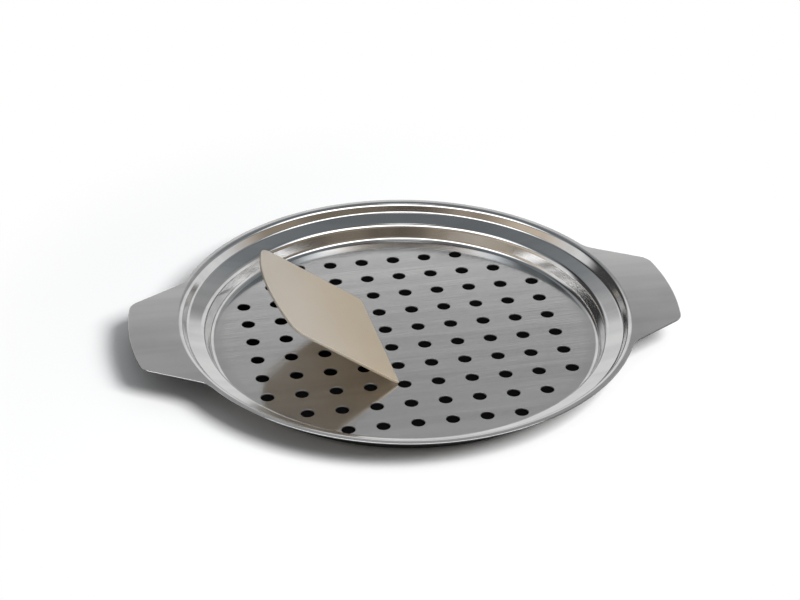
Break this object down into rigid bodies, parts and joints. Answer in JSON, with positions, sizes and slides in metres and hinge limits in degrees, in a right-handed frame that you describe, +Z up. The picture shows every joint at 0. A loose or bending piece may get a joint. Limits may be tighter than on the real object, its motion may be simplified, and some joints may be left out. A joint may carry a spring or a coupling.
{
  "type": "spaetzle maker",
  "caption": "Stepped round steel plate with a perforated floor and two wing handles, lying on a pot, with a loose plastic scraper that pushes dough through the holes.",
  "frame": {"origin": "middle of the round plate, at the underside of its floor", "axes": "+Z up; X along the two wing handles, +X the way the scraper is pushed; Y across them"},
  "size_m": [0.327, 0.2736, 0.0519],
  "materials": {
    "stainless_sheet": "satin pressed sheet",
    "milky_plastic": "translucent milky, smooth"
  },
  "bodies": {
    "plate": {"perforated_plate": "stainless_sheet"},
    "scraper": {"dough_scraper": "milky_plastic"}
  },
  "joints": [
    {"name": "scraper_stroke", "type": "slide", "parent": "plate", "child": "scraper", "axis": [0.9983, 0.0576, 0], "range_m": [-0.078, 0.118]}
  ]
}
